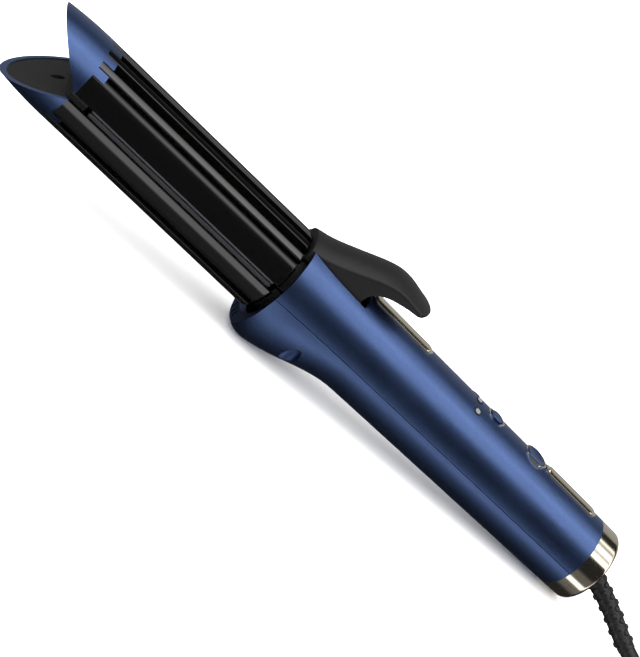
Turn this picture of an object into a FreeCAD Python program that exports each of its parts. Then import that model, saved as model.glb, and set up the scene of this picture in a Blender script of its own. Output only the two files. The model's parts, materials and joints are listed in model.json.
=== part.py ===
import FreeCAD, Part
import math
import os

# Corded hair styler with a split, lengthways ribbed barrel.
#
# The two half-barrels meet on flat heat plates. The lower one is fixed in the handle, and the upper one
# turns on a pin in the neck when its thumb lever is pressed. Every piece is built in the tool's own frame:
# the barrel's axis is X, the mouth of the neck is x = 0, the tips are at -X, the cord leaves at +X, and the
# lever is at +Z. place() then lays the tool on its foot and tail ring, with the origin under its middle.

os.makedirs("parts", exist_ok=True)
V = FreeCAD.Vector
X_AXIS = V(1, 0, 0)
Y_AXIS = V(0, 1, 0)
Z_AXIS = V(0, 0, 1)

# ---- overall sizes, in millimetres ----
BARREL_LENGTH = 129.7  # neck mouth to the tips
HANDLE_LENGTH = 178.3  # neck mouth to the end of the tail ring
BARREL_R = 19.0
MOUTH_R = 21.5
TAIL_R = 16.85

# ---- handle shells ----
CONE_R = 19.7  # radius that the straight handle would have at the mouth
FLARE_LENGTH = 14.0  # how fast the neck's flare dies away
CHIN_DROP = 7.7  # how far the foot under the neck hangs below the round body
CHIN_PEAK_X = 7.0
CHIN_END_X = 47.0
CHIN_FRONT_SHARE = 0.64  # depth of the chin at the mouth, as a share of its peak
CHIN_SQUARENESS = 0.3
FOOT_CUT = 0.45  # depth of the flat ground on the chin's lowest point
SHELL_WALL = 2.2
FIT_GAP = 0.1  # between a shell and what is fitted inside it
MOUTH_LIP = 0.6
MOUTH_LIP_DEPTH = 5.0
SEAM_Z = -1.4
SEAM_GAP = 0.25  # the fine dark line between the shells
TAIL_RING_LENGTH = 11.1
TAIL_RING_ROUNDING = 2.4
TAIL_RING_WALL = 1.6
TAIL_SPIGOT = 5.0  # how far the ring's thin sleeve reaches into the shells

# ---- barrel halves ----
GROOVE_DEPTH = 3.0
RIB_ANGLES = (0.0, 20.2, 40.4)  # middle of each rib, from the top of its half
RIB_WIDTH_ANGLE = 9.8
BAND_ANGLE = 55.6  # where the wide side band starts
RIB_ROUNDING = 0.55
SHELL_EDGE_Z = 1.9  # the shell's edge above the parting plane
SHELL_REAR_X = -1.4
SHELL_REAR_ROUNDING = 2.0
FRAME_R = 14.8
FRAME_EDGE_Z = 2.9
HUB_R = 15.5
HUB_REAR_X = 7.5
HUB_GAP = 0.4  # from the parting plane to each hub

# ---- tips ----
CAP_LENGTH = 22.0
CAP_END_R = 17.6
CAP_WALL = 1.8
TIP_OPEN_Z = 1.5  # height of the slanted face where the beak starts
TIP_END_Z = 17.8  # height of the slanted face at the very tip
FINGER_LENGTH = 5.2
INSERT_RECESS = 0.35
INSERT_TONGUE = 7.3
INSERT_BACK = 3.4  # how far the insert's block reaches behind the cap
TIP_SCREW_R = 1.25
TIP_SCREW_HEAD_R = 1.6
TIP_SCREW_Z = 5.1

# ---- heat plates ----
PLATE_HALF_WIDTH = 17.0
PLATE_LIP = 1.6
PLATE_GAP = 0.1  # from the parting plane to each plate
PLATE_FRONT_X = -98.0
PLATE_REAR_X = -4.0
PLATE_ROUNDING = 0.8
PLATE_FLOAT = 0.8
PLATE_CORE_HALF_WIDTH = 11.0
PLATE_CORE_TOP = 4.4
HEATER_THICKNESS = 2.4
POCKET_CLEARANCE = 0.7
POCKET_TOP = 9.2
SPRING_R = 2.0
SPRING_WIRE_R = 0.35
SPRING_PITCH = 0.95

# ---- hinge and lever ----
PIN_X = 15.0
PIN_Z = 9.0
PIN_R = 2.0
PIN_CLEARANCE = 0.05
EYE_R = 5.0
EAR_EYE_R = 4.2
EAR_INNER_Y = 9.3
EAR_OUTER_Y = 13.3
KNUCKLE_HALF_WIDTH = 8.9
SPRING_SLOT_HALF = 3.4
SLOT_HALF_WIDTH = 10.35
SLOT_LENGTH = 29.8
SLOT_CORNER_R = 1.2
LEVER_HALF_WIDTH = 9.95
LEVER_SADDLE_Z = 13.5
LEVER_FLANK_X = 26.7
LEVER_FLANK_TOP = 19.3
LEVER_FRONT_X = -1.5
LEVER_TIP_X = 50.7
LEVER_SCREW_X = 3.5
LEVER_SCREW_Y = 6.0
LEVER_SCREW_Z = 1.0
LEVER_SCREW_LENGTH = 17.5
LEVER_SCREW_HEAD_R = 1.9
LEVER_SCREW_HEAD_HEIGHT = 1.4
# where the lever's top changes: x, height of the crown, height of the crease, half-width
LEVER_SECTIONS = (
    (LEVER_FRONT_X, 21.6, 18.5, LEVER_HALF_WIDTH),
    (3.0, 22.9, 18.9, LEVER_HALF_WIDTH),
    (8.0, 24.6, 20.2, LEVER_HALF_WIDTH),
    (13.0, 26.7, 22.2, LEVER_HALF_WIDTH),
    (18.0, 28.8, 24.5, LEVER_HALF_WIDTH),
    (26.0, 32.1, 28.3, LEVER_HALF_WIDTH),
    (32.5, 33.6, 30.6, LEVER_HALF_WIDTH + 0.5),
    (39.0, 33.4, 30.9, LEVER_HALF_WIDTH + 0.6),
    (46.0, 32.0, 30.0, LEVER_HALF_WIDTH + 0.1),
    (LEVER_TIP_X, 30.9, 29.5, LEVER_HALF_WIDTH - 0.6),
)
# the curve of the thumb room under the lever's free end: x and height
LEVER_ROOM = ((28.6, 22.9), (33.0, 25.6), (40.0, 27.5), (LEVER_TIP_X + 1, 29.0))

# ---- neck fixings and vents ----
BOSS_X = 22.8
BOSS_Y = 15.2
BOSS_R = 3.4
SCREW_HEAD_R = 2.5
SCREW_SHANK_R = 1.25
RECESS_R = 3.0
RECESS_BOSS_R = 4.2
RECESS_FLOOR_Z = -10.0
WING_LOW_Z = -7.6
WING_HIGH_Z = -4.0
VENT_WIDTH = 1.3
VENT_HEIGHT = 3.0
VENT_PITCH = 3.7
VENT_Z = -23.6

# ---- controls and trim ----
STRIP_WIDTH = 7.0
STRIP_CROWN_WIDTH = 4.4
STRIP_BASE_HEIGHT = 0.55
STRIP_CROWN_HEIGHT = 1.1
FRONT_STRIP = (30.8, 64.7)
REAR_STRIP_END = 161.8
REAR_STRIP_GAP = 0.5  # from the power button's ring to the strip
LED_X = 92.5
LED_ANGLES = (-22.0, 0.0, 22.0)
LED_R = 1.15
LED_BEZEL_WIDTH = 0.6
LED_BEZEL_R = LED_R + LED_BEZEL_WIDTH
HEAT_X = 102.5
HEAT_R = 3.2
HEAT_ARC_GAP = 0.5  # from the button to its arcs
HEAT_ARC_WIDTH = 0.7
HEAT_ARC_INNER_R = HEAT_R + HEAT_ARC_GAP
HEAT_ARC_OUTER_R = HEAT_ARC_INNER_R + HEAT_ARC_WIDTH
HEAT_ARC_ANGLE = 120.0
POWER_X = 126.0
POWER_R = 4.9
BUTTON_CLEARANCE = 0.12
POWER_BEZEL_WIDTH = 0.68
POWER_BEZEL_R = POWER_R + BUTTON_CLEARANCE + POWER_BEZEL_WIDTH
REAR_STRIP = (POWER_X + POWER_BEZEL_R + REAR_STRIP_GAP, REAR_STRIP_END)
BUTTON_TRAVEL = 0.8
BUTTON_PROUD = 0.9
POWER_DISH_R = 14.0
STEM_R = 1.5
BOARD_X = (82.0, 142.0)
BOARD_HALF_WIDTH = 9.0
BOARD_Z = 5.6
BOARD_THICKNESS = 1.6
SWITCH_SIZE = 6.0
SWITCH_HEIGHT = 3.6

# ---- fan ----
FAN_X = 44.0
FAN_LENGTH = 20.0
FAN_WALL = 1.2
FAN_SHELL_GAP = 0.15
IMPELLER_LENGTH = 8.0
IMPELLER_TIP_GAP = 0.8
IMPELLER_HUB_R = 5.0
BLADE_COUNT = 7
BLADE_THICKNESS = 1.0
BLADE_TWIST = 34.0
MOTOR_R = 7.0
MOTOR_LENGTH = 17.0
SHAFT_R = 1.0

# ---- swivel ----
BALL_R = 7.0
BALL_CLEARANCE = 0.08
BALL_X = HANDLE_LENGTH - 7.5
END_PLATE_THICKNESS = 2.6
END_PLATE_INSET = 4.0
SOCKET_WALL = 1.6
INLET_COUNT = 10
INLET_WIDTH = 2.0

# ---- cord, in the placed frame: points chosen by hand, kept as they are when the tool's sizes change ----
CORD_R = 3.25
RELIEF_ROOT_R = 6.0
RELIEF_R = 4.2
RELIEF_BELL = 7.0
RELIEF_LENGTH = 39.0
CORD_ROUTE = (
    V(151.6, 0.0, 16.8),
    V(165.2, -3.7, 14.1),
    V(185.4, -20.0, 5.6),
    V(203.0, -26.6, 3.35),
    V(218.0, -25.6, 3.25),
    V(230.5, -26.0, 3.25),
)
HANK_X = 273.0
HANK_HALF_STRAIGHT = 42.5
HANK_OUTER_R = 29.25
HANK_INNER_R = 16.25
HANK_WAIST = 13.4
HANK_HEIGHT = 19.5
TIE_WIDTH = 10.0
TIE_THICKNESS = 1.2
CORD_TAIL_ROUTE = (
    V(HANK_X - 42.0, -19.5, 16.25),
    V(HANK_X - 24.0, -13.0, 19.2),
    V(HANK_X - 8.0, -5.0, 24.0),
    V(HANK_X + 8.0, -1.0, 25.5),
    V(HANK_X + 24.0, 0.0, 26.5),
)
PLUG_LENGTH = 30.0
PLUG_WIDTH = 35.0
PLUG_THICKNESS = 14.0
PLUG_ROUNDING = 4.0
PLUG_NECK_HALF_WIDTH = 7.9  # where the cord enters
PLUG_SHOULDER_LENGTH = 13.0  # how far back the plug narrows
PIN_LENGTH = 19.0
PIN_HALF_SPACING = 9.3
PIN_TIP_ROUNDING = 1.2
PLUG_PIN_R = 2.0
PIN_SLEEVE_R = 1.8
PIN_SLEEVE_LENGTH = 10.0  # how much of each pin has its insulating sleeve
PIN_ROOT = 6.0  # how far each pin reaches into the plug

FAR = 400.0
SHELL_END_X = HANDLE_LENGTH - TAIL_RING_LENGTH
SEAM_X = CAP_LENGTH - BARREL_LENGTH  # where the caps meet the barrel shells
TIP_X = -BARREL_LENGTH


# ---- shape helpers ----
def box(x0, x1, y0, y1, z0, z1):
    return Part.makeBox(x1 - x0, y1 - y0, z1 - z0, V(x0, y0, z0))


def rod(radius, start, direction, length):
    return Part.makeCylinder(radius, length, start, direction)


def union(shapes):
    first, *rest = shapes
    return first.multiFuse(rest).removeSplitter() if rest else first


def mirrored(shape):
    """The same piece for the other half of the barrel."""
    return shape.mirror(V(0, 0, 0), Z_AXIS)


def prism_y(points, half_width):
    """A closed outline in the XZ plane, drawn out to both sides."""
    wire = Part.makePolygon([V(x, -half_width, z) for x, z in points + points[:1]])
    return Part.Face(wire).extrude(V(0, 2 * half_width, 0))


def turned(points):
    """The outline's points (x, radius), joined by straight lines and turned about the X axis."""
    outline = [(points[0][0], 0), *points, (points[-1][0], 0)]
    wire = Part.makePolygon([V(x, 0, r) for x, r in outline + outline[:1]])
    return Part.Face(wire).revolve(V(0, 0, 0), X_AXIS, 360)


def polar(radius, angle):
    """A point of the YZ plane at an angle in degrees from +Z towards -Y."""
    turn = math.radians(angle)
    return V(0, -radius * math.sin(turn), radius * math.cos(turn))


def ring_sector(x0, x1, r0, r1, middle, width):
    """A block between two radii and two angles, drawn out along X."""
    a0, a1 = middle - width / 2, middle + width / 2
    edges = [
        Part.Arc(polar(r1, a0), polar(r1, middle), polar(r1, a1)).toShape(),
        Part.makeLine(polar(r1, a1), polar(r0, a1)),
        Part.Arc(polar(r0, a1), polar(r0, middle), polar(r0, a0)).toShape(),
        Part.makeLine(polar(r0, a0), polar(r1, a0)),
    ]
    face = Part.Face(Part.Wire(edges))
    face.translate(V(x0, 0, 0))
    return face.extrude(V(x1 - x0, 0, 0))


def above(z):
    return box(-FAR, FAR, -FAR, FAR, z, FAR)


def below(z):
    return box(-FAR, FAR, -FAR, FAR, -FAR, z)


# ---- handle body ----
def body_radius(x):
    cone = CONE_R + (TAIL_R - CONE_R) * x / HANDLE_LENGTH
    return cone + (MOUTH_R - CONE_R) * math.exp(-x / FLARE_LENGTH)


def chin_share(x):
    if x < CHIN_PEAK_X:
        return 1 - (1 - CHIN_FRONT_SHARE) * (1 - x / CHIN_PEAK_X) ** 2
    if x > CHIN_END_X:
        return 0.0
    return 0.5 + 0.5 * math.cos(math.pi * (x - CHIN_PEAK_X) / (CHIN_END_X - CHIN_PEAK_X))


def chin_depth(x):
    return body_radius(x) + CHIN_DROP * chin_share(x)


def round_body(inset, x0, x1, steps=14):
    """The handle's round body, moved inwards by inset, between two places on its axis."""
    places = [x0 + (x1 - x0) * (k / steps) ** 1.6 for k in range(steps + 1)]
    curve = Part.BSplineCurve()
    curve.interpolate([V(x, 0, body_radius(max(x, 0)) - inset) for x in places])
    first, last = places[0], places[-1]
    edges = [
        curve.toShape(),
        Part.makeLine(V(last, 0, body_radius(last) - inset), V(last, 0, 0)),
        Part.makeLine(V(last, 0, 0), V(first, 0, 0)),
        Part.makeLine(V(first, 0, 0), V(first, 0, body_radius(max(first, 0)) - inset)),
    ]
    return Part.Face(Part.Wire(edges)).revolve(V(0, 0, 0), X_AXIS, 360)


def lower_section(x, inset, points=16):
    """Half an oval below the axis: round at the tail, deeper and squarer over the chin."""
    wide, deep = body_radius(x) - inset, chin_depth(x) - inset
    power = 2 / (2 + CHIN_SQUARENESS * chin_share(x))
    outline = []
    for k in range(points + 1):
        turn = math.pi * k / points
        across, down = math.cos(turn), math.sin(turn)
        outline.append(V(x, math.copysign(wide * abs(across) ** power, across), -deep * abs(down) ** power))
    curve = Part.BSplineCurve()
    curve.interpolate(outline)
    return Part.Wire([curve.toShape(), Part.makeLine(outline[-1], outline[0])])


def lower_body(inset, x0, x1):
    """The underside: one smooth loft over the chin, then a plain one back to the tail."""
    chin_places = [x for x in (3.5, 7, 12, 17, 23, 29, 35, 41) if x > x0 + 1]
    chin = [lower_section(x, inset) for x in (x0, *chin_places, CHIN_END_X)]
    straight = [lower_section(CHIN_END_X + (x1 - CHIN_END_X) * k / 6, inset) for k in range(7)]
    return Part.makeLoft(chin, True, False).fuse(Part.makeLoft(straight, True, True))


def mouth_opening():
    """The round way into the neck, from its thin lip back to inside the full wall."""
    throat_r = body_radius(MOUTH_LIP_DEPTH) - SHELL_WALL - MOUTH_LIP / 2
    return turned([(-1, MOUTH_R - MOUTH_LIP), (0, MOUTH_R - MOUTH_LIP), (MOUTH_LIP_DEPTH, throat_r)])


def lever_slot():
    plan = box(-1, SLOT_LENGTH, -SLOT_HALF_WIDTH, SLOT_HALF_WIDTH, LEVER_SADDLE_Z - 2, 2 * MOUTH_R)
    corners = [e for e in plan.Edges if abs(e.Length - (2 * MOUTH_R - LEVER_SADDLE_Z + 2)) < 0.01
               and e.CenterOfMass.x > 0]
    return plan.makeFillet(SLOT_CORNER_R, corners)


def surface_frame(x, angle):
    """Where the outward line at this angle meets the handle, and its direction."""
    out = polar(1, angle)
    return V(x, 0, 0) + out * body_radius(x), out


def radial_rod(radius, x, angle, depth, proud):
    top, out = surface_frame(x, angle)
    return rod(radius, top - out * depth, out, depth + proud)


def upper_handle_shell():
    cavity = union([round_body(SHELL_WALL, 0, SHELL_END_X + 1), mouth_opening()])
    shell = round_body(0, 0, SHELL_END_X).cut(cavity).common(above(SEAM_Z))
    inside = round_body(SHELL_WALL / 2, 0, SHELL_END_X).common(above(SEAM_Z))
    inside = inside.fuse(round_body(SHELL_WALL + FIT_GAP, 0, SHELL_END_X).common(above(WING_HIGH_Z)))
    bosses = []
    for side in (-1, 1):
        bosses.append(rod(BOSS_R, V(BOSS_X, side * BOSS_Y, WING_HIGH_Z), Z_AXIS, MOUTH_R).common(inside))
    shell = union([shell, *bosses]).cut(lever_slot())
    holes = [rod(SCREW_SHANK_R, V(BOSS_X, side * BOSS_Y, WING_HIGH_Z - 1), Z_AXIS, 9) for side in (-1, 1)]
    holes.append(radial_rod(HEAT_R + BUTTON_CLEARANCE, HEAT_X, 0, 4, 4))
    holes.append(radial_rod(POWER_BEZEL_R, POWER_X, 0, 4, 4))
    holes += [radial_rod(LED_BEZEL_R, LED_X, angle, 4, 4) for angle in LED_ANGLES]
    holes.append(heat_arc_blank())
    holes.append(ring_spigot())
    return shell.cut(union(holes[:-1])).cut(holes[-1])


def lower_handle_shell():
    outer = lower_body(0, 0, SHELL_END_X)
    hollow = lower_body(SHELL_WALL, SHELL_WALL, SHELL_END_X + 1)
    shell = outer.cut(hollow).cut(mouth_opening()).common(below(SEAM_Z - SEAM_GAP))
    reach = outer.common(below(WING_LOW_Z))
    for side in (-1, 1):
        boss = rod(RECESS_BOSS_R, V(BOSS_X, side * BOSS_Y, -MOUTH_R * 2), Z_AXIS, 2 * MOUTH_R + WING_LOW_Z)
        shell = shell.fuse(boss.common(reach))
    cuts = [rod(RECESS_R, V(BOSS_X, side * BOSS_Y, -2 * MOUTH_R), Z_AXIS, 2 * MOUTH_R + RECESS_FLOOR_Z)
            for side in (-1, 1)]
    cuts += [rod(SCREW_SHANK_R, V(BOSS_X, side * BOSS_Y, RECESS_FLOOR_Z - 1), Z_AXIS, 5) for side in (-1, 1)]
    cuts += [box(-1, SHELL_WALL + 1, k * VENT_PITCH - VENT_WIDTH / 2, k * VENT_PITCH + VENT_WIDTH / 2,
                 VENT_Z - VENT_HEIGHT / 2, VENT_Z + VENT_HEIGHT / 2) for k in (-1, 0, 1)]
    return shell.cut(union(cuts)).cut(ring_spigot()).cut(foot_cutter())


def rest_line():
    """The pitch of the line that touches the foot and the tail ring, and a point on it."""
    touch_x = HANDLE_LENGTH - TAIL_RING_ROUNDING
    foot_z = -(chin_depth(CHIN_PEAK_X) - FOOT_CUT)
    pitch = math.atan2(-TAIL_R - foot_z, touch_x - CHIN_PEAK_X)
    return pitch, V(touch_x, 0, -TAIL_R)


def foot_cutter():
    pitch, touch = rest_line()
    block = box(touch.x - FAR, touch.x, -FAR, FAR, touch.z - FAR, touch.z)
    block.rotate(touch, Y_AXIS, -math.degrees(pitch))
    return block


# ---- tail ----
def ring_spigot():
    """The ring's thin sleeve, which the two shells close on."""
    outer = body_radius(SHELL_END_X) - SHELL_WALL / 2
    return turned([(SHELL_END_X - TAIL_SPIGOT, outer), (SHELL_END_X + 1, outer)])


def tail_ring():
    rear, rounding = HANDLE_LENGTH, TAIL_RING_ROUNDING
    front_r = body_radius(SHELL_END_X)
    reach = rounding * math.sin(math.pi / 4)
    bend = V(rear - rounding + reach, 0, TAIL_R - rounding + reach)
    edges = [
        Part.makeLine(V(SHELL_END_X, 0, 0), V(SHELL_END_X, 0, front_r)),
        Part.makeLine(V(SHELL_END_X, 0, front_r), V(rear - rounding, 0, TAIL_R)),
        Part.Arc(V(rear - rounding, 0, TAIL_R), bend, V(rear, 0, TAIL_R - rounding)).toShape(),
        Part.makeLine(V(rear, 0, TAIL_R - rounding), V(rear, 0, 0)),
        Part.makeLine(V(rear, 0, 0), V(SHELL_END_X, 0, 0)),
    ]
    outer = Part.Face(Part.Wire(edges)).revolve(V(0, 0, 0), X_AXIS, 360)
    bore = rod(TAIL_R - TAIL_RING_WALL - 1, V(SHELL_END_X - TAIL_SPIGOT - 1, 0, 0), X_AXIS, FAR)
    return union([outer, ring_spigot().common(rod(MOUTH_R, V(0, 0, 0), X_AXIS, SHELL_END_X + 0.5))]).cut(bore)


def socket_outside():
    front = BALL_X - BALL_R - 1
    plate_rear = HANDLE_LENGTH - END_PLATE_INSET
    return rod(BALL_R + BALL_CLEARANCE + SOCKET_WALL, V(front, 0, 0), X_AXIS, plate_rear - front)


def tail_end_plate():
    rear = HANDLE_LENGTH - END_PLATE_INSET
    plate = rod(TAIL_R - TAIL_RING_WALL - 1, V(rear - END_PLATE_THICKNESS, 0, 0), X_AXIS, END_PLATE_THICKNESS)
    inner_r = BALL_R + SOCKET_WALL + 1.3
    outer_r = TAIL_R - TAIL_RING_WALL - 2.2
    for k in range(INLET_COUNT):
        slot = box(rear - FAR, rear + 1, -INLET_WIDTH / 2, INLET_WIDTH / 2, inner_r, outer_r)
        slot.rotate(V(0, 0, 0), X_AXIS, 360 * (k + 0.5) / INLET_COUNT)
        plate = plate.cut(slot)
    return plate.cut(socket_outside())


def swivel_socket():
    mouth = Part.makeCone(BALL_R * 0.72, BALL_R + 3, 8, V(BALL_X + BALL_R * 0.66, 0, 0), X_AXIS)
    wires = rod(BALL_R * 0.6, V(BALL_X - BALL_R * 3, 0, 0), X_AXIS, BALL_R * 3)
    return socket_outside().cut(Part.makeSphere(BALL_R + BALL_CLEARANCE, V(BALL_X, 0, 0))).cut(mouth).cut(wires)


def swivel_ball():
    return Part.makeSphere(BALL_R, V(BALL_X, 0, 0))


# ---- barrel halves: each is drawn as the upper one ----
def rib_edges(middle, width, radius, floor, rounding):
    """The arc over one rib with its two rounded corners, from -Y round to +Y, floor to floor."""
    lean = math.degrees(math.asin(rounding / (radius - rounding)))
    reach = math.sqrt((radius - rounding) ** 2 - rounding ** 2)
    corners = []
    for side in (1, -1):
        wall = middle + side * width / 2
        centre = polar(radius - rounding, wall - side * lean)
        on_wall, on_top = polar(reach, wall), polar(radius, wall - side * lean)
        between = ((on_wall - centre) + (on_top - centre)).normalize() * rounding + centre
        corners.append((polar(floor, wall), on_wall, between, on_top))
    (foot_a, wall_a, bend_a, top_a), (foot_b, wall_b, bend_b, top_b) = corners
    return [
        Part.makeLine(foot_a, wall_a),
        Part.Arc(wall_a, bend_a, top_a).toShape(),
        Part.Arc(top_a, polar(radius, middle), top_b).toShape(),
        Part.Arc(top_b, bend_b, wall_b).toShape(),
        Part.makeLine(wall_b, foot_b),
    ]


def ribbed_face(radius):
    """The half-barrel's section: ribs on a round floor, with a wide band down each side."""
    floor = BARREL_R - GROOVE_DEPTH
    side_width = 90 + RIB_WIDTH_ANGLE - BAND_ANGLE
    ribs = [(BAND_ANGLE + side_width / 2, side_width)]
    ribs += [(angle, RIB_WIDTH_ANGLE) for angle in RIB_ANGLES[::-1]]
    ribs += [(-middle, width) for middle, width in ribs[-2::-1]]
    edges = []
    for (middle, width), following in zip(ribs, ribs[1:] + [None]):
        edges += rib_edges(middle, width, radius, floor, RIB_ROUNDING)
        if following:
            start, end = middle - width / 2, following[0] + following[1] / 2
            middle = polar(floor, (start + end) / 2)
            edges.append(Part.Arc(polar(floor, start), middle, polar(floor, end)).toShape())
    first, last = edges[0].Vertexes[0].Point, edges[-1].Vertexes[-1].Point
    edges.append(Part.makeLine(last, first))
    return Part.Face(Part.Wire(edges))


def upper_barrel_shell():
    face = ribbed_face(BARREL_R)
    face.translate(V(SEAM_X, 0, 0))
    ribs = face.extrude(V(SHELL_REAR_X - SEAM_X, 0, 0))
    rounding = SHELL_REAR_ROUNDING
    shoulder = V(SHELL_REAR_X - rounding + rounding * math.sin(math.pi / 4), 0,
                 BARREL_R - rounding + rounding * math.cos(math.pi / 4))
    edges = [
        Part.makeLine(V(SEAM_X, 0, 0), V(SEAM_X, 0, BARREL_R + 1)),
        Part.makeLine(V(SEAM_X, 0, BARREL_R + 1), V(SHELL_REAR_X - rounding, 0, BARREL_R + 1)),
        Part.makeLine(V(SHELL_REAR_X - rounding, 0, BARREL_R + 1), V(SHELL_REAR_X - rounding, 0, BARREL_R)),
        Part.Arc(V(SHELL_REAR_X - rounding, 0, BARREL_R), shoulder, V(SHELL_REAR_X, 0, BARREL_R - rounding)).toShape(),
        Part.makeLine(V(SHELL_REAR_X, 0, BARREL_R - rounding), V(SHELL_REAR_X, 0, 0)),
        Part.makeLine(V(SHELL_REAR_X, 0, 0), V(SEAM_X, 0, 0)),
    ]
    envelope = Part.Face(Part.Wire(edges)).revolve(V(0, 0, 0), X_AXIS, 360)
    shell = ribs.common(envelope).common(above(SHELL_EDGE_Z))
    side = PLATE_HALF_WIDTH + 0.3
    travel_room = box(SEAM_X - 1, 0, -side, side, 0, PLATE_GAP + PLATE_LIP + PLATE_FLOAT + 0.2)
    return shell.cut(rod(FRAME_R, V(SEAM_X - 1, 0, 0), X_AXIS, FAR)).cut(travel_room)


def half_disc(radius, x0, x1, z):
    return rod(radius, V(x0, 0, 0), X_AXIS, x1 - x0).common(above(z))


def plate_pocket():
    side = PLATE_CORE_HALF_WIDTH + POCKET_CLEARANCE
    return box(PLATE_FRONT_X - POCKET_CLEARANCE, PLATE_REAR_X, -side, side, 0, POCKET_TOP)


def frame_barrel():
    """The carrier inside one half-barrel, from behind the tip insert to the neck."""
    front = SEAM_X + INSERT_BACK
    carrier = half_disc(FRAME_R, front, SHELL_REAR_X, FRAME_EDGE_Z)
    hub = half_disc(HUB_R, SHELL_REAR_X, HUB_REAR_X, HUB_GAP)
    wires = box(PLATE_FRONT_X + 4, HUB_REAR_X + 1, -3, 3, POCKET_TOP - 1, POCKET_TOP + 2)
    screw = rod(TIP_SCREW_R, V(front - 1, 0, TIP_SCREW_Z), X_AXIS, 5)
    return union([carrier, hub]).cut(plate_pocket()).cut(wires).cut(screw)


def pin_hole(clearance):
    return rod(PIN_R + clearance, V(PIN_X, -EAR_OUTER_Y - 1, PIN_Z), Y_AXIS, 2 * EAR_OUTER_Y + 2)


def upper_arm_frame():
    knuckle = union([
        box(HUB_REAR_X - 1, PIN_X, -KNUCKLE_HALF_WIDTH, KNUCKLE_HALF_WIDTH, PIN_Z - EYE_R, PIN_Z + EYE_R),
        rod(EYE_R, V(PIN_X, -KNUCKLE_HALF_WIDTH, PIN_Z), Y_AXIS, 2 * KNUCKLE_HALF_WIDTH),
    ])
    seat_half = KNUCKLE_HALF_WIDTH - 1
    eye_rear, eye_top = PIN_X + EYE_R, PIN_Z + EYE_R
    seat = box(HUB_REAR_X - 1, eye_rear, -seat_half, seat_half, PIN_Z, eye_top + 2)
    spring_room = box(HUB_REAR_X + 0.5, eye_rear + 1, -SPRING_SLOT_HALF, SPRING_SLOT_HALF, -1, eye_top + 3)
    arm = union([frame_barrel(), knuckle, seat]).cut(spring_room).cut(pin_hole(PIN_CLEARANCE))
    return arm.cut(lever_screw_rods(SCREW_SHANK_R)).cut(lever_screw_heads(LEVER_SCREW_HEAD_R + FIT_GAP, 0))


def lower_arm_frame():
    half = mirrored(frame_barrel())
    neck = mirrored(half_disc(HUB_R, HUB_REAR_X, BOSS_X + BOSS_R + 1, HUB_GAP))
    wing = box(BOSS_X - BOSS_R, BOSS_X + BOSS_R, -BOSS_Y - BOSS_R, BOSS_Y + BOSS_R, WING_LOW_Z, WING_HIGH_Z)
    wing = wing.common(round_body(SHELL_WALL + FIT_GAP, SHELL_WALL, 60))
    ears = []
    for y in (-EAR_OUTER_Y, EAR_INNER_Y):
        thick = EAR_OUTER_Y - EAR_INNER_Y
        ears.append(box(PIN_X - EAR_EYE_R, PIN_X + EAR_EYE_R, y, y + thick, -HUB_GAP - 1, PIN_Z))
        ears.append(rod(EAR_EYE_R, V(PIN_X, y, PIN_Z), Y_AXIS, thick))
    ears = union(ears).common(round_body(SHELL_WALL + FIT_GAP, 0, 60))
    frame = union([half, neck, wing, ears]).cut(pin_hole(0))
    for side in (-1, 1):
        frame = frame.cut(rod(SCREW_SHANK_R, V(BOSS_X, side * BOSS_Y, WING_LOW_Z - 1), Z_AXIS, 30))
        frame = frame.cut(rod(BOSS_R + FIT_GAP, V(BOSS_X, side * BOSS_Y, WING_HIGH_Z), Z_AXIS, 30))
        frame = frame.cut(rod(RECESS_BOSS_R + FIT_GAP, V(BOSS_X, side * BOSS_Y, WING_LOW_Z), V(0, 0, -1), 30))
    passage = box(HUB_REAR_X - 2, BOSS_X + BOSS_R + 2, -5, 5, -POCKET_TOP - 2, -POCKET_TOP + 3)
    clear_knuckle = rod(EYE_R + 0.5, V(PIN_X, -EAR_INNER_Y, PIN_Z), Y_AXIS, 2 * EAR_INNER_Y)
    return frame.cut(passage).cut(clear_knuckle)


def hinge_pin():
    return rod(PIN_R, V(PIN_X, -EAR_OUTER_Y, PIN_Z), Y_AXIS, 2 * EAR_OUTER_Y)


def clamp_spring():
    """A torsion spring on the pin: its long leg stands on the lower hub, its short leg lies under the lever."""
    wire_r, turns = 0.6, 4
    coil_r = PIN_R + wire_r + 0.35
    pitch = 2 * wire_r + 0.15
    helix = Part.makeHelix(pitch, pitch * turns, coil_r)
    ring = Part.Wire(Part.makeCircle(wire_r, V(coil_r, 0, 0), V(0, 1, 0)))
    coil = Part.Wire(helix).makePipeShell([ring], True, True)
    coil.rotate(V(0, 0, 0), X_AXIS, -90)
    coil.translate(V(PIN_X, -pitch * turns / 2, PIN_Z))
    start = V(PIN_X + coil_r, -pitch * turns / 2, PIN_Z)
    end = V(PIN_X + coil_r, pitch * turns / 2, PIN_Z)
    down = rod(wire_r, start, V(0, 0, -1), PIN_Z + HUB_GAP)
    up = rod(wire_r, end, V(0, 0, 1), EYE_R + 1.5)
    return union([coil, down, up])


# ---- tips ----
def beak_plane_cut(shift):
    """All that lies under the slanted face of the upper tip, moved up by shift."""
    rise = (TIP_END_Z - TIP_OPEN_Z) / CAP_LENGTH
    start_x, far_x = SEAM_X + 1, TIP_X - 10
    low = TIP_OPEN_Z + shift - rise * (start_x - SEAM_X)
    high = TIP_OPEN_Z + shift + rise * (SEAM_X - far_x)
    return prism_y([(start_x, -1), (start_x, low), (far_x, high), (far_x, -1)], 2 * BARREL_R)


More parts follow.
